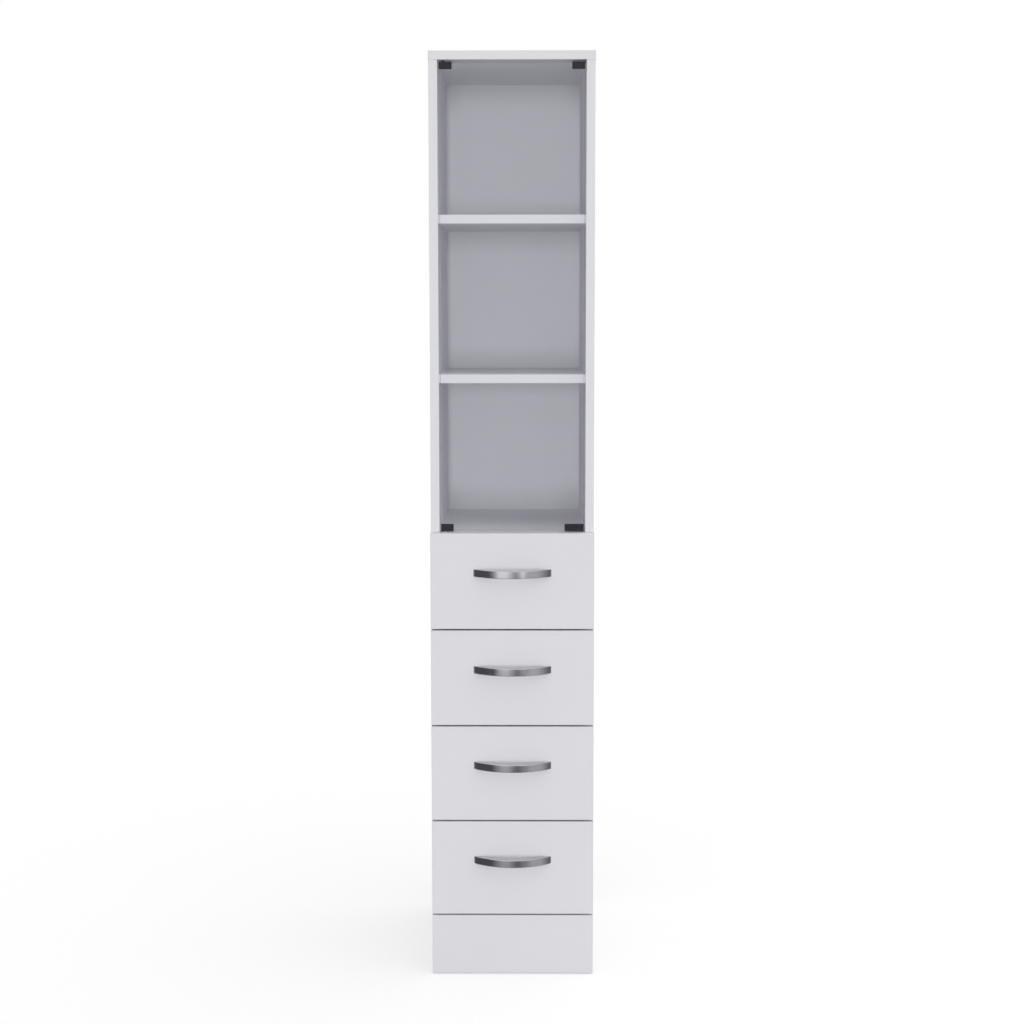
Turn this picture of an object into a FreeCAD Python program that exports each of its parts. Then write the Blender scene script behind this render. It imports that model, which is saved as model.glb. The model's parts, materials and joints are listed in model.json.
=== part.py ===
import FreeCAD, Part
import math
import os
from FreeCAD import Vector

# Tall narrow linen cabinet in white melamine board: a clear glass door on pivot clips closes
# three open compartments, with four drawers on roller runners and a plinth below.
# Millimetres, +Z up, front towards -Y, origin on the floor under the middle of the outline.

# Overall size
HEIGHT = 1700.0
FACE_WIDTH = 300.0          # top panel, drawer fronts and plinth
BODY_WIDTH = 299.0          # over the two side panels
BODY_DEPTH = 380.0          # side panels, front edge to rear edge
BOARD = 16.0                # melamine board
BACK_SHEET = 3.0            # hardboard
ARRIS = 0.6                 # eased edge of the edge banding
TOP_NOSE = 1.0              # top panel ahead of the side panels

# Drawers, plinth and shelves
DRAWERS = 4
FRONT_HEIGHT = 177.0
FRONT_GAP = 3.0             # between neighbouring fronts
FRONT_CLEARANCE = 1.0       # drawer front to the front edges of the body
PLINTH_TOP = 114.0
SHELVES = 2
SHELF_SETBACK = 18.0

# Drawer boxes
RUNNER_SPACE = 12.5
BOX_SIDE = 12.0
BOX_LENGTH = 350.0
BOX_HEIGHT = 120.0
BOX_RISE = 19.0             # bottom of the box above the bottom of its front
SHEET_RISE = 10.0           # bottom sheet above the lower edge of the box
GROOVE = 5.0

# Bow handles
HANDLE_LENGTH = 143.0
HANDLE_REACH = 30.0
HANDLE_TALL = 14.2
HANDLE_THICK = 5.0
HANDLE_BEVEL = 1.3
HANDLE_FOOT = 15.0
HANDLE_DROP = 73.0          # handle centre below the top of the front

# Roller runners
STEEL = 1.2
RUNNER_LENGTH = 350.0
RUNNER_SETBACK = 2.0
CHANNEL_WIDTH = 9.0
CHANNEL_MOUTH = 30.0        # upper flange cut away so that the drawer lifts in
FLANGE_REACH = 8.0
LIP_WIDTH = 11.2
ROLLER_RADIUS = 8.0
ROLLER_WIDTH = 6.4
ROLLER_INSET = 12.0
ROLL_GAP = 0.3
FLANGE_GAP = 0.5
AXLE_RADIUS = 2.0
AXLE_FIT = 0.05

# Glass door
GLASS = 4.0
DOOR_SETBACK = 8.0          # middle of the glass behind the front edges of the body
DOOR_SIDE_GAP = 2.5
DOOR_TOP_GAP = 3.0
DOOR_BOTTOM_GAP = 2.0
GLASS_ARRIS = 0.5
CLIP_LENGTH = 23.0
PULL_LENGTH = 35.0
CLIP_TALL = 12.5
CLIP_BASE = 1.5
CLIP_CHEEK = 2.75
PULL_RIDGE = 4.0
PIVOT_INSET = 8.0           # pivot axis from the outer end of the clip
PIN_RADIUS = 2.5
PIN_DEPTH = 7.5
PIN_FIT = 0.05
BUSH_RADIUS = 4.0
BUSH_DEPTH = 9.0
UPPER_BUSH_PROUD = 0.8
LOWER_BUSH_PROUD = 1.7      # carries the door

# Magnetic catch
CATCH_WIDTH = 20.0
CATCH_DEPTH = 16.0
CATCH_TALL = 13.0
CATCH_GAP = 0.5
MAGNET_WIDTH = 14.0
MAGNET_DEPTH = 5.0
MAGNET_TALL = 7.0
MAGNET_PROUD = 0.3

# Dowels, plinth blocks and glides
FLATS = 8                   # ribs of a dowel or bush barrel, drawn as flats
DOWEL_RADIUS = 4.0
DOWEL_SHORT = 10.0          # into the face of a board
DOWEL_LONG = 20.0           # into the end of a board
DOWEL_INSET = 50.0          # from the front and rear edges of the body
PLINTH_BLOCK = 20.0         # square section
PLINTH_BLOCK_GAP = 12.0     # below the bottom panel and above the glides
GLIDE_HEIGHT = 2.0
GLIDE_WIDTH = 14.0
GLIDE_LENGTH = 36.0
GLIDE_INSET = 28.0

# Planes and levels that follow from the sizes
REAR = (HANDLE_REACH + BOARD + FRONT_CLEARANCE + BODY_DEPTH + BACK_SHEET) / 2
BACK = REAR - BACK_SHEET
FRONT = BACK - BODY_DEPTH
FACE_BACK = FRONT - FRONT_CLEARANCE
FACE = FACE_BACK - BOARD
HALF_FACE = FACE_WIDTH / 2
OUTER = BODY_WIDTH / 2
INNER = OUTER - BOARD
SIDE_MIDDLE = (OUTER + INNER) / 2
UNDER_TOP = HEIGHT - BOARD
PITCH = FRONT_HEIGHT + FRONT_GAP
DIVIDER_TOP = PLINTH_TOP + DRAWERS * PITCH
COMPARTMENT = (UNDER_TOP - DIVIDER_TOP - SHELVES * BOARD) / (SHELVES + 1)
BOX_HALF = INNER - RUNNER_SPACE
BOX_INNER = BOX_HALF - BOX_SIDE
BOX_REAR = FACE_BACK + BOX_LENGTH
DOOR_HALF = INNER - DOOR_SIDE_GAP
DOOR_PLANE = FRONT + DOOR_SETBACK
DOOR_TOP = UNDER_TOP - DOOR_TOP_GAP
DOOR_BOTTOM = DIVIDER_TOP + DOOR_BOTTOM_GAP
PIVOT = Vector(PIVOT_INSET - DOOR_HALF, DOOR_PLANE, 0)
RIGHT = Vector(1, 0, 0)
BACKWARD = Vector(0, 1, 0)
UP = Vector(0, 0, 1)


def box(x0, x1, y0, y1, z0, z1):
    """Square-edged block between two corners."""
    corner = Vector(min(x0, x1), min(y0, y1), min(z0, z1))
    return Part.makeBox(abs(x1 - x0), abs(y1 - y0), abs(z1 - z0), corner)


def rod(start, direction, radius, length):
    """Round bar from a start point."""
    return Part.makeCylinder(radius, length, start, direction)


def ribbed_rod(start, direction, radius, length):
    """Bar with flats that keep it from turning in its seat."""
    turns = [2 * math.pi * flat / FLATS for flat in range(FLATS)]
    corners = [Vector(radius * math.cos(turn), radius * math.sin(turn), 0) for turn in turns]
    prism = Part.Face(Part.makePolygon(corners + corners[:1])).extrude(UP * length)
    prism.Placement = FreeCAD.Placement(start, FreeCAD.Rotation(UP, direction))
    return prism


def bar(outline, start, length):
    """Straight bar with a closed outline in X and Z, running backward."""
    corners = [Vector(x, start, z) for x, z in outline]
    face = Part.Face(Part.makePolygon(corners + corners[:1]))
    return face.extrude(BACKWARD * length)


def mirrored(shape):
    """The same piece on the other side of the cabinet."""
    return shape.mirror(Vector(0, 0, 0), RIGHT)


def eased(board, edge_lies):
    """Board with the chosen edges eased."""
    return board.makeChamfer(ARRIS, [edge for edge in board.Edges if edge_lies(edge.BoundBox)])


def front_edges(y):
    """Chooser for the long edges that lie in the plane of a board's front edge."""
    def lies(bounds):
        return abs(bounds.YMin - y) + abs(bounds.YMax - y) < 0.1 and bounds.DiagonalLength > BOARD + 1
    return lies


def top_edges(z):
    """Chooser for the long edges along the top of a drawer board."""
    def lies(bounds):
        return abs(bounds.ZMin - z) + abs(bounds.ZMax - z) < 0.1 and bounds.DiagonalLength > BOARD
    return lies


def save(name, *solids):
    """Write one node, a single solid or a group of separate solids."""
    shape = solids[0] if len(solids) == 1 else Part.makeCompound(list(solids))
    shape.exportStep(os.path.join("parts", name + ".step"))


# Dowels, blocks, glides and bushes

def dowel(joint, into):
    """Fluted beech dowel across a joint."""
    return ribbed_rod(joint - into * DOWEL_SHORT, into, DOWEL_RADIUS, DOWEL_SHORT + DOWEL_LONG)


def level_middles():
    """Mid-height of each board that stands between the side panels."""
    shelves = [shelf_bottom(level) + BOARD / 2 for level in range(SHELVES)]
    return [PLINTH_TOP - BOARD / 2, DIVIDER_TOP - BOARD / 2] + shelves


def dowels():
    """Two dowels in each end of every level board, and two in the top of each side panel."""
    pins = []
    for sign in (-1, 1):
        for y in (FRONT + DOWEL_INSET, BACK - DOWEL_INSET):
            pins += [dowel(Vector(sign * INNER, y, z), RIGHT * -sign) for z in level_middles()]
            pins.append(dowel(Vector(sign * SIDE_MIDDLE, y, UNDER_TOP), UP * -1))
    return pins


def plinth_block(sign):
    """Glue block in the corner between the plinth and a side panel."""
    return box(sign * (INNER - PLINTH_BLOCK), sign * INNER, FRONT, FRONT + PLINTH_BLOCK,
               GLIDE_HEIGHT + PLINTH_BLOCK_GAP, PLINTH_TOP - BOARD - PLINTH_BLOCK_GAP)


def floor_glide(x, y):
    """Plastic glide plate under one end of a side panel."""
    half_width = GLIDE_WIDTH / 2
    half_length = GLIDE_LENGTH / 2
    plate = box(x - half_width, x + half_width, y - half_length, y + half_length, 0, GLIDE_HEIGHT)
    return eased(plate, lambda bounds: bounds.ZMax < GLIDE_HEIGHT / 2)


def bush_barrel(z, into, proud):
    """Outside of a pivot bush that is pressed into a board and stands proud of it."""
    return ribbed_rod(Vector(PIVOT.x, PIVOT.y, z) - into * proud, into, BUSH_RADIUS, proud + BUSH_DEPTH)


def hinge_bush(z, into, proud):
    """Nylon bush that carries one pivot pin of the door."""
    start = Vector(PIVOT.x, PIVOT.y, z) - into * proud
    return bush_barrel(z, into, proud).cut(rod(start, into, PIN_RADIUS + PIN_FIT, proud + BUSH_DEPTH))


def drilled(board, cutters):
    """Board with the seats of the fittings that reach into it."""
    near = [cutter for cutter in cutters if board.BoundBox.intersect(cutter.BoundBox)]
    return board.cut(near)


# Boards of the body

def side_panel(sign):
    board = box(sign * INNER, sign * OUTER, FRONT, BACK, GLIDE_HEIGHT, UNDER_TOP)
    return eased(board, front_edges(FRONT))


def top_panel():
    board = box(-HALF_FACE, HALF_FACE, FRONT - TOP_NOSE, BACK, UNDER_TOP, HEIGHT)
    return board.makeChamfer(ARRIS, board.Edges)


def level_board(bottom, setback):
    """Board between the side panels."""
    board = box(-INNER, INNER, FRONT + setback, BACK, bottom, bottom + BOARD)
    return eased(board, front_edges(FRONT + setback))


def shelf_bottom(level):
    """Underside of a shelf, counted upward from the lowest."""
    return DIVIDER_TOP + COMPARTMENT + level * (COMPARTMENT + BOARD)


def plinth_board():
    board = box(-HALF_FACE, HALF_FACE, FRONT - BOARD, FRONT, GLIDE_HEIGHT, PLINTH_TOP)
    return board.makeChamfer(ARRIS, board.Edges)


def back_panel():
    edge = 2 * ARRIS
    return box(edge - OUTER, OUTER - edge, BACK, REAR, PLINTH_TOP - BOARD, HEIGHT - edge)


# Glass door

def door_glass():
    pane = box(-DOOR_HALF, DOOR_HALF, DOOR_PLANE - GLASS / 2, DOOR_PLANE + GLASS / 2,
               DOOR_BOTTOM + CLIP_BASE, DOOR_TOP - CLIP_BASE)
    return pane.makeChamfer(GLASS_ARRIS, pane.Edges)


def glass_clip(x0, x1, end, into):
    """Cast clip gripping one edge of the glass, from its closed end towards the pane."""
    reach = GLASS / 2 + CLIP_CHEEK
    block = box(x0, x1, DOOR_PLANE - reach, DOOR_PLANE + reach, end, end + into * CLIP_TALL)
    block = block.makeChamfer(ARRIS, block.Edges)
    slot = box(x0, x1, DOOR_PLANE - GLASS / 2, DOOR_PLANE + GLASS / 2,
               end + into * CLIP_BASE, end + into * CLIP_TALL)
    return block.cut(slot)


def hinge_clip(end, into, gap):
    """Glass clip with the pivot pin that turns in a bush."""
    body = glass_clip(-DOOR_HALF, CLIP_LENGTH - DOOR_HALF, end, into)
    pin = rod(Vector(PIVOT.x, PIVOT.y, end), UP * -into, PIN_RADIUS, gap + PIN_DEPTH)
    return body.fuse(pin).removeSplitter()


def pull_clip():
    """Longer glass clip with a ridge for the fingertips."""
    x0 = DOOR_HALF - PULL_LENGTH
    body = glass_clip(x0, DOOR_HALF, DOOR_BOTTOM, 1)
    cheek = DOOR_PLANE - GLASS / 2 - CLIP_CHEEK
    ridge = box(x0 + ARRIS, DOOR_HALF - ARRIS, cheek - PULL_RIDGE, cheek,
                DOOR_BOTTOM + CLIP_TALL - ARRIS - CLIP_CHEEK, DOOR_BOTTOM + CLIP_TALL - ARRIS)
    return body.fuse(ridge).removeSplitter()


def catch_pieces():
    """Housing of the magnetic catch under the top panel, and its magnet."""
    middle = DOOR_HALF - CLIP_LENGTH / 2
    pole = DOOR_PLANE + GLASS / 2 + CLIP_CHEEK + CATCH_GAP
    face = pole + MAGNET_PROUD
    centre = UNDER_TOP - CATCH_TALL / 2
    magnet = box(middle - MAGNET_WIDTH / 2, middle + MAGNET_WIDTH / 2, pole, pole + MAGNET_DEPTH,
                 centre - MAGNET_TALL / 2, centre + MAGNET_TALL / 2)
    housing = box(middle - CATCH_WIDTH / 2, middle + CATCH_WIDTH / 2, face, face + CATCH_DEPTH,
                  UNDER_TOP - CATCH_TALL, UNDER_TOP)
    return housing.cut(magnet), magnet


# Roller runners, left side; the right side is the mirror image

def roller_height(level):
    """Axis height of the rollers of a runner whose drawer box stands at a level."""
    return level + ROLL_GAP + ROLLER_RADIUS


def axle(x, y, z, sign):
    """Axle of a roller, riveted into the web and flush with the roller."""
    return rod(Vector(x, y, z), RIGHT * sign, AXLE_RADIUS, CHANNEL_WIDTH - STEEL)


def front_roller_y():
    return FRONT + RUNNER_SETBACK + ROLLER_INSET


def rear_roller_y():
    return FRONT + RUNNER_SETBACK + RUNNER_LENGTH - ROLLER_INSET


def cabinet_runner(level):
    """Bent channel on the side panel, with the axle of its front roller."""
    start = FRONT + RUNNER_SETBACK
    web = -INNER
    tip = web + CHANNEL_WIDTH
    under = roller_height(level) + ROLLER_RADIUS + ROLL_GAP + STEEL + FLANGE_GAP
    outline = [(web, level - STEEL), (tip, level - STEEL), (tip, level), (web + STEEL, level),
               (web + STEEL, under), (tip, under), (tip, under + STEEL), (web, under + STEEL)]
    channel = bar(outline, start, RUNNER_LENGTH)
    mouth = box(web + STEEL, tip, start, start + CHANNEL_MOUTH, under, under + STEEL)
    return channel.cut(mouth).fuse(axle(web + STEEL, front_roller_y(), roller_height(level), 1))


def drawer_runner(level):
    """Bent rail under the drawer side, with the axle of its rear roller."""
    web = -BOX_HALF - STEEL
    under = roller_height(level) + ROLLER_RADIUS + ROLL_GAP
    outline = [(web, level - STEEL), (web + LIP_WIDTH, level - STEEL), (web + LIP_WIDTH, level),
               (-BOX_HALF, level), (-BOX_HALF, under + STEEL), (web - FLANGE_REACH, under + STEEL),
               (web - FLANGE_REACH, under), (web, under)]
    rail = bar(outline, FRONT + RUNNER_SETBACK, RUNNER_LENGTH)
    return rail.fuse(axle(web, rear_roller_y(), roller_height(level), -1))


def roller(x, y, z, sign):
    """Nylon roller, beside the web that carries its axle."""
    start = Vector(x + sign * (CHANNEL_WIDTH - STEEL - ROLLER_WIDTH), y, z)
    tyre = rod(start, RIGHT * sign, ROLLER_RADIUS, ROLLER_WIDTH)
    return tyre.cut(rod(start, RIGHT * sign, AXLE_RADIUS + AXLE_FIT, ROLLER_WIDTH))


def front_roller(level):
    return roller(STEEL - INNER, front_roller_y(), roller_height(level), 1)


def rear_roller(level):
    return roller(-BOX_HALF - STEEL, rear_roller_y(), roller_height(level), -1)


# Drawers

def front_bottom(number):
    """Lower edge of a drawer front, counted downward from the top drawer."""
    return PLINTH_TOP + FRONT_GAP + (DRAWERS - number) * PITCH


def drawer_front(low):
    board = box(-HALF_FACE, HALF_FACE, FACE, FACE_BACK, low, low + FRONT_HEIGHT)
    return board.makeChamfer(ARRIS, board.Edges).cut(drawer_bottom(low))


def drawer_bottom(low):
    """Hardboard sheet held in grooves of the front and sides."""
    level = low + BOX_RISE + SHEET_RISE
    half = BOX_INNER + GROOVE
    return box(-half, half, FACE_BACK - GROOVE, BOX_REAR, level, level + BACK_SHEET)


def drawer_side(low, sign):
    level = low + BOX_RISE
    board = box(sign * BOX_INNER, sign * BOX_HALF, FACE_BACK, BOX_REAR, level, level + BOX_HEIGHT)
    return eased(board, top_edges(level + BOX_HEIGHT)).cut(drawer_bottom(low))


def drawer_back(low):
    level = low + BOX_RISE
    board = box(-BOX_INNER, BOX_INNER, BOX_REAR - BOX_SIDE, BOX_REAR,
                level + SHEET_RISE + BACK_SHEET, level + BOX_HEIGHT)
    return eased(board, top_edges(level + BOX_HEIGHT))


def bow(half, reach, z):
    """Arc standing out from the drawer front."""
    return Part.Arc(Vector(-half, FACE, z), Vector(0, FACE - reach, z), Vector(half, FACE, z)).toShape()


def bow_handle(low):
    """Bow handle: an arched strap that thickens into two feet, bevelled along its outer edges."""
    z = low + FRONT_HEIGHT - HANDLE_DROP - HANDLE_TALL / 2
    outer = HANDLE_LENGTH / 2
    inner = outer - HANDLE_FOOT
    feet = [Part.makeLine(Vector(sign * inner, FACE, z), Vector(sign * outer, FACE, z)) for sign in (-1, 1)]
    rim = [feet[0], bow(outer, HANDLE_REACH, z), feet[1], bow(inner, HANDLE_REACH - HANDLE_THICK, z)]
    strap = Part.Face(Part.Wire(Part.__sortEdges__(rim))).extrude(UP * HANDLE_TALL)
    tip = FACE - HANDLE_REACH
    edges = [edge for edge in strap.Edges if abs(edge.BoundBox.YMin - tip) < 0.1]
    return strap.makeChamfer(HANDLE_BEVEL, edges)


def save_drawer(number):
    """Every piece of one drawer and the rollers that it runs on."""
    low = front_bottom(number)
    level = low + BOX_RISE
    name = "drawer_%d_" % number
    save(name + "front", drawer_front(low))
    save(name + "left_side", drawer_side(low, -1))
    save(name + "right_side", drawer_side(low, 1))
    save(name + "back", drawer_back(low))
    save(name + "bottom", drawer_bottom(low))
    save(name + "handle", bow_handle(low))
    pairs = (("runners", drawer_runner), ("front_rollers", front_roller), ("rear_rollers", rear_roller))
    for piece, maker in pairs:
        left = maker(level)
        save(name + piece, left, mirrored(left))


def save_door():
    save("door_glass", door_glass())
    save("upper_hinge_clip", hinge_clip(DOOR_TOP, -1, DOOR_TOP_GAP))
    save("lower_hinge_clip", hinge_clip(DOOR_BOTTOM, 1, DOOR_BOTTOM_GAP))
    save("strike_clip", glass_clip(DOOR_HALF - CLIP_LENGTH, DOOR_HALF, DOOR_TOP, -1))
    save("pull_clip", pull_clip())


def save_body():
    pins = dowels()
    bushes = ((UNDER_TOP, UP, UPPER_BUSH_PROUD), (DIVIDER_TOP, UP * -1, LOWER_BUSH_PROUD))
    cutters = pins + [bush_barrel(*bush) for bush in bushes]
    save("left_side_panel", drilled(side_panel(-1), cutters))
    save("right_side_panel", drilled(side_panel(1), cutters))
    save("top_panel", drilled(top_panel(), cutters))
    save("divider_panel", drilled(level_board(DIVIDER_TOP - BOARD, 0), cutters))
    save("lower_shelf", drilled(level_board(shelf_bottom(0), SHELF_SETBACK), cutters))
    save("upper_shelf", drilled(level_board(shelf_bottom(1), SHELF_SETBACK), cutters))
    save("bottom_panel", drilled(level_board(PLINTH_TOP - BOARD, 0), cutters))
    save("plinth_board", plinth_board())
    save("plinth_blocks", plinth_block(-1), plinth_block(1))
    save("back_panel", back_panel())
    save("wood_dowels", *pins)
    save("floor_glides", *[floor_glide(x, y) for x in (-SIDE_MIDDLE, SIDE_MIDDLE)
                           for y in (FRONT + GLIDE_INSET, BACK - GLIDE_INSET)])
    save("hinge_bushes", *[hinge_bush(*bush) for bush in bushes])
    housing, magnet = catch_pieces()
    save("catch_housing", housing)
    save("catch_magnet", magnet)
    runners = [cabinet_runner(front_bottom(number + 1) + BOX_RISE) for number in range(DRAWERS)]
    save("left_cabinet_runners", *runners)
    save("right_cabinet_runners", *[mirrored(runner) for runner in runners])


os.makedirs("parts", exist_ok=True)
save_body()
save_door()
for drawer in range(DRAWERS):
    save_drawer(drawer + 1)
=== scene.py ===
# %% [markdown]
# # A tall white linen cabinet
# The CAD frame already holds every board, fitting and joint of this cabinet at its real size. Blender could
# model the boards again, but a second set could drift from the first. So the CAD pieces stay as they are
# and get their finishes here. Only the bow handles, whose polish shows every facet, and the screws, rivets
# and nails that hold the cabinet together are modelled new.

# %% Load the frame
import json
import math

import bpy
from mathutils import Matrix, Vector


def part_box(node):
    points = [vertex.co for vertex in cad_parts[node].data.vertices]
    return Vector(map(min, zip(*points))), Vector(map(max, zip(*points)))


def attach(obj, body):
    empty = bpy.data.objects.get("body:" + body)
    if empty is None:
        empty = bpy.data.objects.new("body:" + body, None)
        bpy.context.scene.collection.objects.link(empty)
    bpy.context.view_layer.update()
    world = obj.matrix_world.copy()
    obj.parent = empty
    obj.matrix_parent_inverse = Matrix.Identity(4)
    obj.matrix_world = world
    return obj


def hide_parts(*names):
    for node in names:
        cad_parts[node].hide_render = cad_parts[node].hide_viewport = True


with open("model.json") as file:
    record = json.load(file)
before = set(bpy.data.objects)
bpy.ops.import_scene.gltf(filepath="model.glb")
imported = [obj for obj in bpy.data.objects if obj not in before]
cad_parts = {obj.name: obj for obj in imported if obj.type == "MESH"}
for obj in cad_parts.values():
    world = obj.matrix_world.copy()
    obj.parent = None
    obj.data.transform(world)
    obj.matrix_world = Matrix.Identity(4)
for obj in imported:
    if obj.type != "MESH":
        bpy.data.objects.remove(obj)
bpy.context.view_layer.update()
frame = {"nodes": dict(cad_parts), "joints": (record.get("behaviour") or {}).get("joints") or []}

nodes = frame["nodes"]

# %% [markdown]
# ## Planes to work from
# A cabinet maker marks everything from a few faces: the front edges of the body, the inside of the side
# panels, the levels of the boards. They could be typed in again, but reading them from the frame keeps the
# finishes and fasteners on the wood even if the cabinet is resized.

# %% Read the main planes
MILLIMETRE = 0.001
SLIDE = "_slide"
DRAWERS = [joint["name"][:-len(SLIDE)] for joint in frame["joints"] if joint["name"].endswith(SLIDE)]


def low(node):
    """Lowest corner of a CAD piece."""
    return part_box(node)[0]


def high(node):
    """Highest corner of a CAD piece."""
    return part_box(node)[1]


def middle(node):
    """Middle of a CAD piece's box."""
    return (low(node) + high(node)) / 2


body_front = low("left_side_panel").y
body_back = high("left_side_panel").y
panel_foot = low("left_side_panel").z
sheet_back = high("back_panel").y
print("drawers:", DRAWERS, "front edges at y", round(body_front, 4))

# %% [markdown]
# ## A short way to write shaders
# A finish is a small sum: a colour, a little noise, a mask where the edge strip begins. Adding every node
# by hand hides that sum in dozens of lines, so one class wraps a socket and lets Python's own operators add
# the Math nodes. Colours go through Mix nodes, because a Math node would turn them grey.

# %% The socket class


def plug(target, value):
    """Set an input to a plain value, or link a wrapped socket to it."""
    if isinstance(value, Wire):
        value.tree.links.new(value.socket, target)
    else:
        target.default_value = value


class Wire:
    """An output socket; operators on it add the Math nodes that they stand for."""

    def __init__(self, tree, socket):
        self.tree = tree
        self.socket = socket

    def node(self, kind, settings, inputs, output=0):
        """Any node: its type, its settings, then the values or links of its inputs."""
        made = self.tree.nodes.new("ShaderNode" + kind)
        for name, value in settings.items():
            setattr(made, name, value)
        for name, value in inputs.items():
            plug(made.inputs[name], value)
        return Wire(self.tree, made.outputs[output])

    def math(self, operation, first, second):
        return self.node("Math", {"operation": operation}, {0: first, 1: second})

    def __add__(self, other):
        return self.math("ADD", self, other)

    __radd__ = __add__

    def __mul__(self, other):
        return self.math("MULTIPLY", self, other)

    __rmul__ = __mul__

    def __sub__(self, other):
        return self.math("SUBTRACT", self, other)

    def __rsub__(self, other):
        return self.math("SUBTRACT", other, self)

    def __gt__(self, other):
        return self.math("GREATER_THAN", self, other)

    def __lt__(self, other):
        return self.math("LESS_THAN", self, other)

    def __abs__(self):
        return self.math("ABSOLUTE", self, 0.0)

    def __or__(self, other):
        return self.math("MAXIMUM", self, other)

    def step(self, start, end):
        """0 below start, 1 above end, smooth between."""
        smooth = {"interpolation_type": "SMOOTHSTEP"}
        return self.node("MapRange", smooth, {"Value": self, 1: start, 2: end})

    def contrast(self):
        """Noise lies close to one half; this draws its middle out to the whole way from 0 to 1."""
        return self.step(0.3, 0.7)

    def mix(self, first, second):
        """The second colour where this mask is 1, the first where it is 0."""
        return self.node("Mix", {"data_type": "RGBA"}, {0: self, 6: first, 7: second}, 2)

    def axes(self):
        """The three parts of a vector."""
        return [self.node("SeparateXYZ", {}, {"Vector": self}, axis) for axis in range(3)]

    def stretched(self, x, y, z):
        """This place with its axes scaled, to draw a pattern out in one direction."""
        return self.node("Mapping", {}, {"Vector": self, "Scale": (x, y, z)})

    def noise(self, scale, detail=2.0):
        return self.node("TexNoise", {}, {"Vector": self, "Scale": scale, "Detail": detail})

    def bump(self, strength, depth):
        """A normal that follows this height."""
        return self.node("Bump", {}, {"Strength": strength, "Distance": depth, "Height": self})


def colour(red, green, blue):
    return (red, green, blue, 1.0)


def grey(tone):
    return colour(tone, tone, tone)


def start_finish(name):
    """New material: its Principled inputs, the place on the piece and the way that the face looks."""
    made = bpy.data.materials.new(name)
    made.use_nodes = True
    tree = made.node_tree
    seen = tree.nodes.new("ShaderNodeTexCoord").outputs
    inputs = tree.nodes["Principled BSDF"].inputs
    return made, inputs, Wire(tree, seen["Object"]), Wire(tree, seen["Normal"])


def dress(finish, *names):
    """Give CAD pieces a finish."""
    for name in names:
        mesh = nodes[name].data
        mesh.materials.clear()
        mesh.materials.append(finish)
    print(finish.name, "on", len(names), "pieces")


# %% [markdown]
# ## White melamine board
# The boards are chipboard pressed between two sheets of white melamine paper, with a plastic strip ironed
# on the edges that show. A flat white would do from afar. Up close the paper has a fine pearl, the strip is
# a little smoother with a hairline where it meets the face, and an edge with no strip shows the chips. All
# three are masks on one material: where a face lies and which way it looks say what it is.

# %% Board colours
PAPER = colour(0.80, 0.795, 0.837)
PAPER_DEEP = colour(0.785, 0.78, 0.822)
STRIP = colour(0.80, 0.795, 0.835)
HAIRLINE = colour(0.52, 0.51, 0.52)
CHIP_PALE = colour(0.62, 0.48, 0.31)
CHIP_DARK = colour(0.30, 0.20, 0.11)
STRIP_THICK = 1.0 * MILLIMETRE
HAIRLINE_WIDE = 0.15 * MILLIMETRE
PAPER_ROUGH = 0.68
PAPER_SHEEN = 0.25
CLOUD_SCALE = 5.0
PEARL_SCALE = 1900.0
PEARL_DEEP = 0.06 * MILLIMETRE
FLAKE_SCALE = 900.0
FLAKE_DRAW = 0.45  # below 1, so that the flakes come out longer from front to back
SPLINTER_SCALE = 1500.0
GRIT_SCALE = 2600.0
LOOKS = 0.5  # a face looks along an axis when its normal goes past this share of it


def chip_colour(place):
    """Pressed wood chips: flakes of two browns with darker resin between."""
    drawn = place.stretched(1.0, FLAKE_DRAW, 1.0)
    flakes = place.node("TexVoronoi", {}, {"Vector": drawn, "Scale": FLAKE_SCALE}, "Color")
    tint = flakes.axes()[0]
    grit = place.noise(GRIT_SCALE, 4.0)
    return (tint * 0.75 + grit * 0.4).step(0.15, 0.95).mix(CHIP_DARK, CHIP_PALE)


def melamine(name, banded, bare, sheen=PAPER_SHEEN):
    """Board finish. banded and bare give masks from the place and facing axes for strip and open chips."""
    made, inputs, place, facing = start_finish(name)
    cloud = place.noise(CLOUD_SCALE, 3.0)
    pearl = place.noise(PEARL_SCALE, 2.0)
    paper = (cloud * 0.7 + pearl * 0.3).contrast().mix(PAPER_DEEP, PAPER)
    strip, seam = banded(place.axes(), facing.axes())
    chips = bare(place.axes(), facing.axes())
    surface = seam.mix(strip.mix(paper, STRIP), HAIRLINE)
    plug(inputs["Base Color"], chips.mix(surface, chip_colour(place)))
    plug(inputs["Roughness"], PAPER_ROUGH + pearl * 0.12 - strip * 0.08 + chips * 0.15)
    inputs["Specular IOR Level"].default_value = sheen
    splinters = chips * place.noise(SPLINTER_SCALE, 4.0) * 3.0
    plug(inputs["Normal"], (pearl * (1 - strip * 0.7) + splinters).bump(0.25, PEARL_DEEP))
    return made


def hairline(distance):
    """Mask for the seam, from the distance to the edge that carries the strip."""
    return abs(distance - STRIP_THICK) < HAIRLINE_WIDE / 2


# %% Boards of the body, with a strip on the front edge
MATT = 0.0  # the level boards are seen at a flat angle, where a sheen would whiten them


def front_strip(front):
    """Masks for a board whose front edge lies at this y."""
    def masks(place, facing):
        return place[1] - front < STRIP_THICK, hairline(place[1] - front)
    return masks


def rear_and_foot(place, facing):
    """Open chips on the rear edge and under the foot."""
    under = (facing[2] < -LOOKS) * (place[2] < panel_foot + MILLIMETRE)
    return (facing[1] > LOOKS) | under


dress(melamine("side_melamine", front_strip(body_front), rear_and_foot),
      "left_side_panel", "right_side_panel")
dress(melamine("floor_melamine", front_strip(body_front), rear_and_foot, MATT),
      "divider_panel", "bottom_panel")
dress(melamine("shelf_melamine", front_strip(low("lower_shelf").y), rear_and_foot, MATT),
      "lower_shelf", "upper_shelf")

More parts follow.
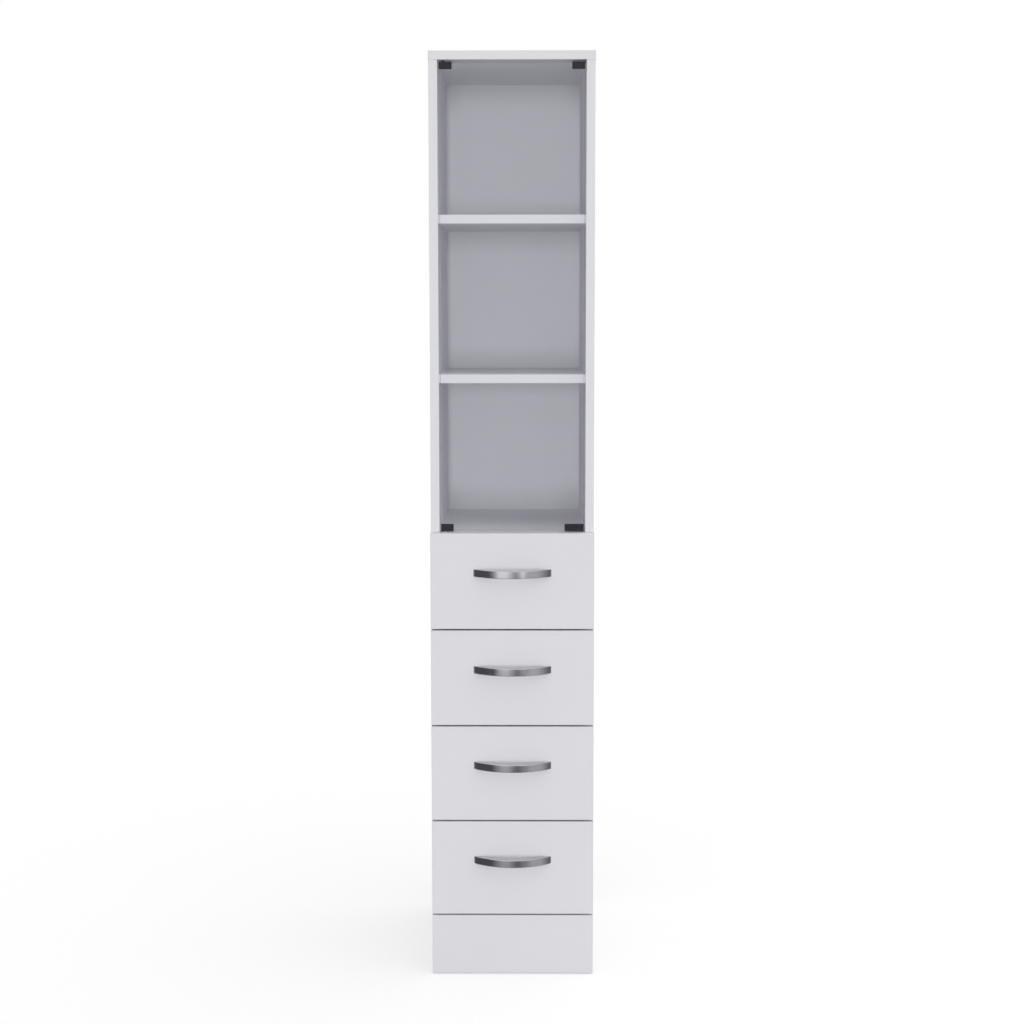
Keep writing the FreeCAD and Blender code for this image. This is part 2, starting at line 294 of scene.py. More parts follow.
# %% Boards with a strip all round: fronts, plinth and top


def strip_all_round(place, facing):
    """Strip on every narrow edge of an upright front, with its seam beside the two tall edges."""
    return abs(facing[1]) < LOOKS, hairline(high("plinth_board").x - abs(place[0]))


def strip_round_top(place, facing):
    """Strip on the front and side edges of the top panel, with its seams on the flat faces."""
    beside = hairline(high("top_panel").x - abs(place[0]))
    return abs(facing[2]) < LOOKS, beside | hairline(place[1] - low("top_panel").y)


def rear_edge(place, facing):
    """Open chips on the rear edge alone."""
    return (facing[1] > LOOKS) * (place[1] > body_back - MILLIMETRE)


dress(melamine("front_melamine", strip_all_round, rear_edge),
      "plinth_board", *[drawer + "_front" for drawer in DRAWERS])
dress(melamine("top_melamine", strip_round_top, rear_edge), "top_panel")

# %% [markdown]
# ## Drawer boxes
# The sides and backs of the drawers are thinner board wrapped in white foil, so only their undersides show
# chips. They take the same recipe with other masks.

# %% Foil-wrapped drawer boards


def no_strip(place, facing):
    """No strip and no seam: a normal's share is never more than 1."""
    none = facing[2] > 1.5
    return none, none


def underside(place, facing):
    """Open chips on the faces that look down."""
    return facing[2] < -LOOKS


dress(melamine("drawer_foil", no_strip, underside),
      *[drawer + part for drawer in DRAWERS for part in ("_left_side", "_right_side", "_back")])

# %% [markdown]
# ## Hardboard sheets
# The back and the drawer bottoms are 3 mm hardboard. One side is lacquered white, the other is bare brown
# fibre with the print of the wire screen that it was pressed on. One material serves both, told which way
# the white side looks.

# %% Hardboard with one white side
LACQUER = colour(0.70, 0.698, 0.737)
LACQUER_DEEP = colour(0.687, 0.685, 0.723)
FIBRE_PALE = colour(0.36, 0.23, 0.13)
FIBRE_DARK = colour(0.20, 0.12, 0.065)
SCREEN = 480.0  # wires of the screen in a metre
LACQUER_ROUGH = 0.45
LACQUER_SCALE = 6.0
FIBRE_ROUGH = 0.85
FIBRE_SCALE = 700.0
FIBRE_DEEP = 0.1 * MILLIMETRE
BLOTCH_SCALE = 9.0


def hardboard(name, white_axis, white_sign):
    """Sheet that is white where it looks along one way of an axis, and bare fibre elsewhere."""
    made, inputs, place, facing = start_finish(name)
    white = facing.axes()[white_axis] * white_sign > LOOKS
    hairs = place.noise(FIBRE_SCALE, 6.0)
    blotch = place.noise(BLOTCH_SCALE, 4.0)
    fibre = (hairs * 0.6 + blotch * 0.4).contrast().mix(FIBRE_DARK, FIBRE_PALE)
    lacquer = place.noise(LACQUER_SCALE, 3.0).contrast().mix(LACQUER_DEEP, LACQUER)
    across = [axis.math("SINE", axis * (SCREEN * 2 * math.pi), 0.0) for axis in place.axes()]
    screen = across[0] * across[3 - white_axis]
    plug(inputs["Base Color"], white.mix(fibre, lacquer))
    plug(inputs["Roughness"], FIBRE_ROUGH - white * (FIBRE_ROUGH - LACQUER_ROUGH))
    plug(inputs["Normal"], (screen * (1 - white) * 0.5 + hairs * (1.2 - white)).bump(0.4, FIBRE_DEEP))
    return made


dress(hardboard("back_hardboard", 1, -1.0), "back_panel")
dress(hardboard("drawer_hardboard", 2, 1.0), *[drawer + "_bottom" for drawer in DRAWERS])

# %% [markdown]
# ## The glass
# A 4 mm float pane, clear through the face and green along the ground edge. Real refraction alone would
# keep the lamps' light out of the shelves, because a lamp is found by a straight ray. A Light Path switch
# lets shadow and bounced rays pass straight through, a little dimmed, while the eye still sees glass. In a
# clear edge a ray would bounce to and fro until it is given up and drawn black, so a second mix makes the
# edges what they look like, a dull green.

# %% Clear pane with a green edge
PANE_CLEAR = colour(0.982, 0.989, 0.995)
PANE_EDGE = colour(0.36, 0.43, 0.41)
PANE_PASS = colour(0.966, 0.967, 0.980)
PANE_IOR = 1.45
EDGE_ROUGH = 0.35
PANE_FACE = 0.9  # a normal with less than this share along y belongs to an edge


def pane_finish():
    """Clear glass to the eye, dull green on its edges, a dimmed opening to lamps and bounced light."""
    made, inputs, _, facing = start_finish("clear_glass")
    inputs["Base Color"].default_value = PANE_CLEAR
    inputs["Roughness"].default_value = 0.0
    inputs["Transmission Weight"].default_value = 1.0
    inputs["IOR"].default_value = PANE_IOR
    tree = made.node_tree
    clear = Wire(tree, tree.nodes["Principled BSDF"].outputs[0])
    ground = clear.node("BsdfPrincipled", {}, {"Base Color": PANE_EDGE, "Roughness": EDGE_ROUGH})
    edge = abs(facing.axes()[1]) < PANE_FACE
    glass = edge.node("MixShader", {}, {0: edge, 1: clear, 2: ground})
    path = tree.nodes.new("ShaderNodeLightPath").outputs
    straight = Wire(tree, path["Is Shadow Ray"]) | Wire(tree, path["Is Diffuse Ray"])
    through = straight.node("BsdfTransparent", {}, {"Color": PANE_PASS})
    seen = straight.node("MixShader", {}, {0: straight, 1: glass, 2: through})
    plug(tree.nodes["Material Output"].inputs["Surface"], seen)
    return made


dress(pane_finish(), "door_glass")

# %% [markdown]
# ## Metal and plastic fittings
# The clips are die cast and painted satin black, the runners are steel under a white powder coat, the
# rollers are nylon, and the bushes, the catch and the glides are moulded plastic. One flat colour for each
# would look like a toy, so each gets the fine grain that its making leaves.

# %% Black clips
CLIP_BLACK = colour(0.032, 0.032, 0.038)
CLIP_DEEP = colour(0.0225, 0.0225, 0.027)
CLIP_ROUGH = 0.42
CLIP_SHEEN = 0.22
CLIP_GRAIN = 1600.0
CLIP_GRAIN_DEEP = 0.06 * MILLIMETRE


def clip_finish():
    """Satin black paint over a cast grain."""
    made, inputs, place, _ = start_finish("clip_black")
    grain = place.noise(CLIP_GRAIN, 3.0)
    plug(inputs["Base Color"], grain.contrast().mix(CLIP_DEEP, CLIP_BLACK))
    plug(inputs["Roughness"], CLIP_ROUGH + grain * 0.2)
    inputs["Specular IOR Level"].default_value = CLIP_SHEEN
    plug(inputs["Normal"], grain.bump(0.3, CLIP_GRAIN_DEEP))
    return made


dress(clip_finish(), "upper_hinge_clip", "lower_hinge_clip", "strike_clip", "pull_clip")

# %% Powder coat, nylon, plastic and magnet
COAT_GRAIN_DEEP = 0.05 * MILLIMETRE


def coat_finish(name, pale, deep, grain_scale, roughness):
    """Plain moulded or sprayed finish with a fine grain."""
    made, inputs, place, _ = start_finish(name)
    grain = place.noise(grain_scale, 2.0)
    plug(inputs["Base Color"], grain.contrast().mix(deep, pale))
    plug(inputs["Roughness"], roughness + grain * 0.12)
    plug(inputs["Normal"], grain.bump(0.2, COAT_GRAIN_DEEP))
    return made


dress(coat_finish("runner_coat", grey(0.80), grey(0.76), grain_scale=700.0, roughness=0.28),
      "left_cabinet_runners", "right_cabinet_runners", *[drawer + "_runners" for drawer in DRAWERS])
dress(coat_finish("nylon", colour(0.80, 0.79, 0.76), colour(0.74, 0.73, 0.70),
                  grain_scale=300.0, roughness=0.42),
      *[drawer + end for drawer in DRAWERS for end in ("_front_rollers", "_rear_rollers")])
dress(coat_finish("grey_plastic", grey(0.42), grey(0.37), grain_scale=500.0, roughness=0.45),
      "hinge_bushes", "catch_housing")
dress(coat_finish("glide_plastic", grey(0.06), grey(0.045), grain_scale=900.0, roughness=0.45),
      "floor_glides")
dress(coat_finish("magnet", grey(0.10), grey(0.07), grain_scale=1200.0, roughness=0.5),
      "catch_magnet")

# %% Beech dowels and blocks
BEECH_PALE = colour(0.60, 0.42, 0.25)
BEECH_DARK = colour(0.42, 0.26, 0.13)
BEECH_ROUGH = 0.55
BEECH_GRAIN = (60.0, 60.0, 900.0)
FLECK_SCALE = 800.0


def beech_finish():
    """Plain beech, with its grain drawn out and short flecks across."""
    made, inputs, place, _ = start_finish("beech")
    grain = place.stretched(*BEECH_GRAIN).noise(1.0, 4.0)
    fleck = place.noise(FLECK_SCALE, 2.0)
    rings = (grain * 0.7 + fleck * 0.3).contrast()
    plug(inputs["Base Color"], rings.mix(BEECH_DARK, BEECH_PALE))
    plug(inputs["Roughness"], BEECH_ROUGH + grain * 0.15)
    return made


dress(beech_finish(), "wood_dowels", "plinth_blocks")

# %% [markdown]
# ## Modelling by hand, in code
# The operators below are the ones behind Blender's own menus. Each acts on all that is selected, so a new
# piece starts alone in the selection, and its faces or edges are then picked by where they lie.

# %% Helpers for edit mode
SMOOTH_ANGLE = 30.0


def start(add, **sizes):
    """A new primitive, alone in the selection, with its place in its mesh, open in edit mode."""
    if bpy.context.mode != "OBJECT":
        bpy.ops.object.mode_set(mode="OBJECT")
    bpy.ops.object.select_all(action="DESELECT")
    add(**sizes)
    bpy.ops.object.transform_apply(location=True, rotation=True, scale=True)
    bpy.ops.object.mode_set(mode="EDIT")
    return bpy.context.object


def pick(piece, kind, test):
    """Select only the points, the edges or the faces of the piece that pass a test."""
    bpy.ops.mesh.select_mode(type=kind)
    bpy.ops.mesh.select_all(action="DESELECT")
    bpy.ops.object.mode_set(mode="OBJECT")
    mesh = piece.data
    if kind == "VERT":
        for point in mesh.vertices:
            point.select = test(point.co)
    elif kind == "EDGE":
        for edge in mesh.edges:
            edge.select = test(*[mesh.vertices[end].co for end in edge.vertices])
    else:
        for face in mesh.polygons:
            face.select = test(face.center, face.normal)
    bpy.ops.object.mode_set(mode="EDIT")


def only(piece, *others):
    """In object mode, select just this piece, and others with it, and make it the active one."""
    bpy.ops.object.select_all(action="DESELECT")
    for each in (piece, *others):
        each.select_set(True)
    bpy.context.view_layer.objects.active = piece


def cut(piece, cutter):
    """Take the cutter's form out of the piece, and the cutter out of the scene."""
    bpy.ops.object.mode_set(mode="OBJECT")
    only(piece)
    difference = piece.modifiers.new("cut", "BOOLEAN")
    difference.operation = "DIFFERENCE"
    difference.solver = "EXACT"
    difference.object = cutter
    bpy.ops.object.modifier_apply(modifier="cut")
    bpy.data.objects.remove(cutter)
    bpy.ops.object.mode_set(mode="EDIT")


def done(piece, finish):
    """Leave edit mode, shade what is round smooth and what is flat flat, and give the piece its finish."""
    bpy.ops.object.mode_set(mode="OBJECT")
    bpy.ops.object.shade_smooth_by_angle(angle=math.radians(SMOOTH_ANGLE))
    piece.modifiers.new("flats", "WEIGHTED_NORMAL").keep_sharp = True
    bpy.ops.object.modifier_apply(modifier="flats")
    piece.data.materials.clear()
    piece.data.materials.append(finish)


# %% [markdown]
# ## Bow handles
# Each handle is a chromed casting: a strap that bows out of the drawer front and thickens into two feet. A
# curve with a bevel would give a strap of one thickness. The real one is the sickle between two arcs, so a
# standing edge is spun along each arc, the two walls are bridged, and the rims are bevelled.

# %% Brushed chrome
CHROME = colour(0.60, 0.601, 0.65)
CHROME_LINE = colour(0.52, 0.521, 0.564)
CHROME_ROUGH = 0.09
BRUSH_LINES = (14.0, 14.0, 2600.0)
BRUSH_DEEP = 0.03 * MILLIMETRE


def handle_finish():
    """Chrome with fine lines along its length, left by the brush before plating."""
    made, inputs, place, _ = start_finish("handle_chrome")
    brush = place.stretched(*BRUSH_LINES).noise(1.0, 3.0)
    plug(inputs["Base Color"], brush.step(0.35, 0.65).mix(CHROME_LINE, CHROME))
    plug(inputs["Roughness"], CHROME_ROUGH + brush * 0.08)
    plug(inputs["Normal"], brush.bump(0.08, BRUSH_DEEP))
    inputs["Metallic"].default_value = 1.0
    return made


chrome = handle_finish()
print("finish:", chrome.name)

# %% Measure the handle and its two arcs
FOOT = 15.0 * MILLIMETRE
STRAP = 5.0 * MILLIMETRE
first = DRAWERS[0] + "_handle"
span = high(first) - low(first)
drawer_face = high(first).y


def arc(half_chord, rise):
    """Radius of an arc that rises over a chord on the drawer face, and the y of its centre."""
    radius = (half_chord ** 2 + rise ** 2) / (2 * rise)
    return radius, drawer_face - rise + radius


outer_radius, outer_centre = arc(span.x / 2, span.y)
inner_radius, inner_centre = arc(span.x / 2 - FOOT, span.y - STRAP)
print("handle arcs, outer and inner radius:", round(outer_radius, 4), round(inner_radius, 4))

# %% Spin the outer and inner wall
ARC_STEPS = 64
HAIR = 0.02 * MILLIMETRE


def wall(half_chord, radius, centre):
    """Upright wall along an arc: a standing edge at its left end, spun round the arc's centre."""
    piece = start(bpy.ops.mesh.primitive_plane_add, size=span.z, rotation=(math.pi / 2, 0.0, 0.0),
                  location=(-half_chord - span.z / 2, drawer_face, middle(first).z))
    pick(piece, "VERT", lambda point: point.x < -half_chord - HAIR)
    bpy.ops.mesh.delete(type="VERT")
    bpy.ops.mesh.select_all(action="SELECT")
    bpy.ops.mesh.spin(steps=ARC_STEPS, angle=2 * math.asin(half_chord / radius),
                      center=(0.0, centre, 0.0), axis=(0.0, 0.0, -1.0))
    bpy.ops.object.mode_set(mode="OBJECT")
    print("wall ends at x", round(max(point.co.x for point in piece.data.vertices), 4))
    return piece


inner_wall = wall(span.x / 2 - FOOT, inner_radius, inner_centre)
handle = wall(span.x / 2, outer_radius, outer_centre)

# %% Bridge the walls and bevel the rims
OUTER_RIM = 1.3 * MILLIMETRE
INNER_RIM = 0.5 * MILLIMETRE
RIM_SEGMENTS = 3


def at_level(z):
    """Test for edges that lie at one height."""
    return lambda a, b: abs(a.z - z) < HAIR and abs(b.z - z) < HAIR


def on_arc(radius, centre):
    """Test for edges that run along an arc at one height."""
    def test(a, b):
        level = abs(a.z - b.z) < HAIR
        return level and all(abs(math.hypot(end.x, end.y - centre) - radius) < HAIR for end in (a, b))
    return test


only(handle, inner_wall)
bpy.ops.object.join()
bpy.ops.object.mode_set(mode="EDIT")
for level in (low(first).z, high(first).z):
    pick(handle, "EDGE", at_level(level))
    bpy.ops.mesh.bridge_edge_loops()
bpy.ops.mesh.select_all(action="SELECT")
bpy.ops.mesh.fill_holes(sides=4)
bpy.ops.mesh.normals_make_consistent(inside=False)
rims = ((outer_radius, outer_centre, OUTER_RIM), (inner_radius, inner_centre, INNER_RIM))
for radius, centre, rim in rims:
    pick(handle, "EDGE", on_arc(radius, centre))
    bpy.ops.mesh.bevel(offset=rim, segments=RIM_SEGMENTS, affect="EDGES")
done(handle, chrome)
print("handle faces:", len(handle.data.polygons))

# %% One handle for each drawer
for drawer in DRAWERS:
    piece = handle.copy()
    piece.data = handle.data.copy()
    piece.name = piece.data.name = drawer + "_bow_handle"
    bpy.context.scene.collection.objects.link(piece)
    piece.location.z = middle(drawer + "_handle").z - middle(first).z
    only(piece)
    bpy.ops.object.transform_apply(location=True, rotation=True, scale=True)
    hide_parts(drawer + "_handle")
    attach(piece, drawer)
bpy.data.objects.remove(handle)
print("handles:", len(DRAWERS))

# %% [markdown]
# ## Screws, rivets and nails
# What isn't glued is held by a small head: pan heads behind the handles, flat heads in the runners and the
# catch, rivets on the roller axles, nails in the back and socket screws in the clips. They could be drawn
# in a texture, but a head that stands proud catches light from every side. Each kind is modelled once, and
# its copies are joined into pieces that ride with the body that carries them.

# %% Plated and blackened steel
PLATING_CLOUD = 420.0
PLATING_GRAIN = 2400.0
PLATING_DEEP = 0.03 * MILLIMETRE


def steel_finish(name, pale, deep, roughness):
    """Small steel parts, with the cloudy tone that plating leaves."""
    made, inputs, place, _ = start_finish(name)
    cloud = place.noise(PLATING_CLOUD, 3.0)
    plug(inputs["Base Color"], cloud.contrast().mix(deep, pale))
    plug(inputs["Roughness"], roughness + cloud * 0.15)
    plug(inputs["Normal"], place.noise(PLATING_GRAIN, 2.0).bump(0.15, PLATING_DEEP))
    inputs["Metallic"].default_value = 1.0
    return made


zinc = steel_finish("zinc_steel", colour(0.62, 0.63, 0.64), colour(0.50, 0.51, 0.53), roughness=0.26)
black_steel = steel_finish("black_steel", grey(0.07), grey(0.045), roughness=0.36)
print("finishes:", zinc.name, black_steel.name)

# %% Screw head with a cross recess
UPWARD = 0.9  # a face is a head's flat top when its normal goes past this share of z
HEAD_SIDES = 24
HEAD_RIM = 0.6  # of the head's height
CROSS_WIDE = 0.26  # of the head's radius
CROSS_REACH = 0.45  # of the head's radius
CROSS_DEEP = 1.1  # of the head's height, half of it above the head


def cross_head(radius, height):
    """Round-rimmed screw head with a cross recess, standing on z = 0."""
    head = start(bpy.ops.mesh.primitive_cylinder_add, vertices=HEAD_SIDES, radius=radius, depth=height,
                 location=(0.0, 0.0, height / 2))
    pick(head, "FACE", lambda centre, normal: normal.z > UPWARD)
    bpy.ops.mesh.bevel(offset=HEAD_RIM * height, segments=RIM_SEGMENTS, affect="EDGES")
    arm = CROSS_WIDE * radius
    cross = start(bpy.ops.mesh.primitive_cube_add, size=arm, location=(0.0, 0.0, height))
    pick(cross, "FACE", lambda centre, normal: abs(normal.z) < LOOKS)
    bpy.ops.mesh.extrude_faces_move(TRANSFORM_OT_shrink_fatten={"value": CROSS_REACH * radius})
    bpy.ops.mesh.select_all(action="SELECT")
    bpy.ops.transform.resize(value=(1.0, 1.0, CROSS_DEEP * height / arm))
    cut(head, cross)
    done(head, zinc)
    print("screw head, radius", round(radius, 4), "faces", len(head.data.polygons))
    return head


pan_head = cross_head(4.0 * MILLIMETRE, 2.4 * MILLIMETRE)
flat_head = cross_head(3.4 * MILLIMETRE, 0.9 * MILLIMETRE)

# %% Rivet, nail and socket screw
DISH_INSET = 0.35  # of the head's radius
SMALL_SEGMENTS = 2
SOCKET_RADIUS = 1.05 * MILLIMETRE
SOCKET_TALL = 0.8 * MILLIMETRE
SOCKET_MIDDLE = 0.55 * MILLIMETRE


def round_head(radius, height, finish, sides, rim, dish):
    """Low head with a bevelled rim whose middle is pressed in, or raised where dish is negative."""
    head = start(bpy.ops.mesh.primitive_cylinder_add, vertices=sides, radius=radius, depth=height,
                 location=(0.0, 0.0, height / 2))
    pick(head, "FACE", lambda centre, normal: normal.z > UPWARD)
    bpy.ops.mesh.bevel(offset=rim, segments=SMALL_SEGMENTS, affect="EDGES")
    pick(head, "FACE", lambda centre, normal: normal.z > UPWARD and centre.xy.length < HAIR)
    bpy.ops.mesh.inset(thickness=DISH_INSET * radius)
    bpy.ops.transform.translate(value=(0.0, 0.0, -dish))
    done(head, finish)
    return head


rivet = round_head(3.0 * MILLIMETRE, 0.7 * MILLIMETRE, zinc,
                   sides=20, rim=0.4 * MILLIMETRE, dish=0.2 * MILLIMETRE)
nail = round_head(2.0 * MILLIMETRE, 0.3 * MILLIMETRE, zinc,
                  sides=12, rim=0.1 * MILLIMETRE, dish=-0.08 * MILLIMETRE)
grub = round_head(2.0 * MILLIMETRE, 0.5 * MILLIMETRE, black_steel,
                  sides=HEAD_SIDES, rim=0.15 * MILLIMETRE, dish=0.1 * MILLIMETRE)
socket = start(bpy.ops.mesh.primitive_cylinder_add, vertices=6, radius=SOCKET_RADIUS,
               depth=SOCKET_TALL, location=(0.0, 0.0, SOCKET_MIDDLE))
cut(grub, socket)
done(grub, black_steel)
print("faces of rivet, nail, socket screw:", [len(head.data.polygons) for head in (rivet, nail, grub)])

# %% Set copies of a head on the faces that they hold
TURN_STEP = 37.0  # degrees from one head to the next, as a hand leaves them


def fasten(name, body, *rows):
    """One piece of many heads; each row gives a head, its places and the way that it faces."""
    bpy.ops.object.select_all(action="DESELECT")
    count = 0
    for head, places, facing in rows:
        stand = Vector(facing).to_track_quat("Z", "Y").to_matrix().to_4x4()
        for place in places:
            copy = head.copy()
            copy.data = head.data.copy()
            bpy.context.scene.collection.objects.link(copy)
            turn = Matrix.Rotation(math.radians(TURN_STEP * count), 4, "Z")
            copy.matrix_world = Matrix.Translation(place) @ stand @ turn
            copy.select_set(True)
            bpy.context.view_layer.objects.active = copy
            count += 1
    bpy.ops.object.transform_apply(location=True, rotation=True, scale=True)
    bpy.ops.object.join()
    piece = bpy.context.object
    piece.name = piece.data.name = name
    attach(piece, body)
    print(name, "heads:", count)


# %% Screws and rivets of the drawers
HOLE_CENTRES = 128.0 * MILLIMETRE
SHEET_STEEL = 1.2 * MILLIMETRE
REAR_AXLE_END = 130.0 * MILLIMETRE
RUNNER_HOLES = [y * MILLIMETRE for y in (-130.0, 20.0, 120.0)]

for drawer in DRAWERS:
    grip = middle(drawer + "_handle").z
    inside = high(drawer + "_front").y
    behind = [(side * HOLE_CENTRES / 2, inside, grip) for side in (-1, 1)]
    web = high(drawer + "_right_side").x + SHEET_STEEL
    rear = middle(drawer + "_rear_rollers")
    rows = [(pan_head, behind, (0, 1, 0))]
    for side in (-1, 1):
        rows.append((flat_head, [(side * web, y, rear.z) for y in RUNNER_HOLES], (side, 0, 0)))
        rows.append((rivet, [(side * REAR_AXLE_END, rear.y, rear.z)], (side, 0, 0)))
    fasten(drawer + "_screws", drawer, *rows)

# %% Screws and rivets of the cabinet
CABINET_HOLES = [y * MILLIMETRE for y in (-120.0, 20.0, 150.0)]
HOLE_RISE = 0.85 * MILLIMETRE
CATCH_HOLE = 5.0 * MILLIMETRE

rows = []
for drawer in DRAWERS:
    front = middle(drawer + "_front_rollers")
    for side in (-1, 1):
        web = high("right_cabinet_runners").x - SHEET_STEEL
        tip = low("right_cabinet_runners").x
        holes = [(side * web, y, front.z + HOLE_RISE) for y in CABINET_HOLES]
        rows.append((flat_head, holes, (-side, 0, 0)))
        rows.append((rivet, [(side * tip, front.y, front.z)], (-side, 0, 0)))
catch = middle("catch_housing")
catch_rear = high("catch_housing").y - CATCH_HOLE
ears = [(catch.x + side * CATCH_HOLE, catch_rear, low("catch_housing").z) for side in (-1, 1)]
rows.append((flat_head, ears, (0, 0, -1)))
fasten("cabinet_screws", "cabinet", *rows)

# %% Nails of the back and screws of the clips
NAIL_END = 30.0 * MILLIMETRE
NAIL_STEPS = 12
NAILS_ACROSS = [x * MILLIMETRE for x in (-90.0, 0.0, 90.0)]
CLIP_END = 6.0 * MILLIMETRE
PULL_HOLE = 9.0 * MILLIMETRE

foot = low("back_panel").z + NAIL_END
head_room = high("back_panel").z - NAIL_END
heights = [foot + (head_room - foot) * step / (NAIL_STEPS - 1) for step in range(NAIL_STEPS)]
edges = [middle(side).x for side in ("left_side_panel", "right_side_panel")]
places = [(x, sheet_back, z) for x in edges for z in heights]
for board in ("bottom_panel", "divider_panel", "lower_shelf", "upper_shelf", "top_panel"):
    places += [(x, sheet_back, middle(board).z) for x in NAILS_ACROSS]
fasten("back_nails", "cabinet", (nail, places, (0, 1, 0)))

cheek = high("pull_clip").y
holds = [(high("upper_hinge_clip").x - CLIP_END, cheek, low("upper_hinge_clip").z + CLIP_END),
         (high("lower_hinge_clip").x - CLIP_END, cheek, high("lower_hinge_clip").z - CLIP_END)]
pull = middle("pull_clip")
holds += [(pull.x + side * PULL_HOLE, cheek, pull.z) for side in (-1, 1)]
fasten("clip_screws", "door", (grub, holds, (0, 1, 0)))
for head in (pan_head, flat_head, rivet, nail, grub):
    bpy.data.objects.remove(head)

# %% [markdown]
# ## Camera
# The photograph looks at the front from the height of the middle of the glass, a few metres away and a
# little downwards. A camera could be moved by eye until it fits. Here its lens and place come from matching
# edges of the boards in the picture, which gave the cabinet's proportions too.

# %% Camera at the photograph's place
EYE = Vector((0.0223, -3.5029, 1.2495))
LENS = 64.35
SENSOR = 36.0
LOOK_DOWN = 6.4648
LOOK_LEFT = 0.3928
TILT = -0.0600

camera_data = bpy.data.cameras.new("camera")
camera_data.lens = LENS
camera_data.sensor_width = SENSOR
camera = bpy.data.objects.new("camera", camera_data)
bpy.context.scene.collection.objects.link(camera)
pan = Matrix.Rotation(math.radians(LOOK_LEFT), 4, "Z")
pitch = Matrix.Rotation(math.radians(90.0 - LOOK_DOWN), 4, "X")
roll = Matrix.Rotation(math.radians(TILT), 4, "Z")
camera.matrix_world = Matrix.Translation(EYE) @ pan @ pitch @ roll
bpy.context.scene.camera = camera
print("camera at", [round(x, 3) for x in EYE])

# %% [markdown]
# ## Floor and surround
# The cabinet stands on a pale floor that runs into a white surround. A floor lit until it looks white
# would also light the cabinet from below. So it is a plain grey that keeps the soft shadow at the cabinet's
# foot, and a glow that only the eye, metal and glass can see lifts it to white. For reflections that glow
# is strongest some metres away and fades towards the cabinet, because the lower a handle is, the nearer
# the floor that it mirrors. The surround's own fill comes from above the horizon, most of it from overhead,
# and more from the right than from the left.

# %% Floor and surround
FLOOR_HALF = 60.0
FLOOR_TONE = grey(0.55)
FLOOR_ROUGH = 0.9
FLOOR_GLOW = 0.70
EYE_SHARE = 0.77
GLOW_NEAR = 0.4
GLOW_FAR = 7.0
GLOW_END = 10.0
FILL_LOW = 0.45
FILL_RISE = 0.60
FILL_LEAN = 0.42


def ray_kinds(tree):
    """Masks for rays that end in the eye, in a reflection and through glass."""
    path = tree.nodes.new("ShaderNodeLightPath").outputs
    return [Wire(tree, path[kind]) for kind in ("Is Camera Ray", "Is Glossy Ray", "Is Transmission Ray")]


bpy.ops.object.select_all(action="DESELECT")
bpy.ops.mesh.primitive_plane_add(size=2 * FLOOR_HALF)
floor = bpy.context.object
floor.name = "floor"
floor_finish, floor_inputs, floor_place, _ = start_finish("floor_white")
floor_inputs["Base Color"].default_value = FLOOR_TONE
floor_inputs["Roughness"].default_value = FLOOR_ROUGH
floor_inputs["Specular IOR Level"].default_value = MATT
floor_inputs["Emission Strength"].default_value = FLOOR_GLOW
eye, mirrored, through = ray_kinds(floor_finish.node_tree)
distance = floor_place.node("VectorMath", {"operation": "LENGTH"}, {0: floor_place}, "Value")
pool = distance.step(GLOW_NEAR, GLOW_FAR) - distance.step(GLOW_FAR, GLOW_END) * (1 - EYE_SHARE)
glow = (eye | through) * EYE_SHARE | mirrored * pool
plug(floor_inputs["Emission Color"], glow.mix(grey(0.0), grey(1.0)))
floor.data.materials.append(floor_finish)
floor.visible_shadow = False

world = bpy.data.worlds.new("surround")
world.use_nodes = True
bpy.context.scene.world = world
surround = world.node_tree.nodes["Background"]
surround.inputs["Color"].default_value = grey(1.0)
eye, mirrored, through = ray_kinds(world.node_tree)
sky = Wire(world.node_tree, world.node_tree.nodes.new("ShaderNodeTexCoord").outputs["Generated"])
across, _, up = sky.axes()
fill = (up > 0.0) * (1 + across * FILL_LEAN) * (FILL_LOW + up * FILL_RISE)
plug(surround.inputs["Strength"], fill + (eye | mirrored | through) * (1 - fill))
bpy.context.scene.view_settings.view_transform = "Standard"
print("floor glow", FLOOR_GLOW, "fill at the horizon", FILL_LOW, "overhead", FILL_LOW + FILL_RISE)

# %% [markdown]
# ## The lamp
# In the photograph the back is bright right into its side corners, yet fades softly at the top and foot of
# each shelf, which suits a narrow, tall lamp. An area lamp close by would leave a bright patch on the floor
# for the glass to mirror. Distant lamps leave none, so a column of narrow ones, each a little higher than
# the last, stands for the tall lamp. The lowest shine up from under the floor, so it casts no shadow.

# %% Tall front lamp
LAMP_POWER = 0.96
LAMP_LEFT = 0.3
LAMP_SOFT = 2.6
LAMP_RISES = (-6.0, -3.6, -1.2, 1.2, 3.6, 6.0)

for rise in LAMP_RISES:
    lamp_data = bpy.data.lights.new("tall_lamp", "SUN")
    lamp_data.energy = LAMP_POWER / len(LAMP_RISES)
    lamp_data.angle = math.radians(LAMP_SOFT)
    lamp = bpy.data.objects.new("tall_lamp", lamp_data)
    bpy.context.scene.collection.objects.link(lamp)
    lamp.rotation_euler = (math.radians(90.0 - rise), 0.0, -math.radians(LAMP_LEFT))
    for kind in ("camera", "glossy", "transmission"):
        setattr(lamp, "visible_" + kind, False)
print("tall lamp of", len(LAMP_RISES), "parts, power in all", LAMP_POWER)

# %% [markdown]
# ## Veils for the metal to mirror
# Polished metal shows what stands around it, and in an empty white room the handles would be plain white.
# Dark ends painted on them would be wrong from any other side. So thin upright veils that only reflections
# see stand about the cabinet: tall ones further out, and low ones close by for the lower handles.

# %% Veils around the cabinet
TONE_RUN = 0.4  # share of a veil's length over which its grey changes


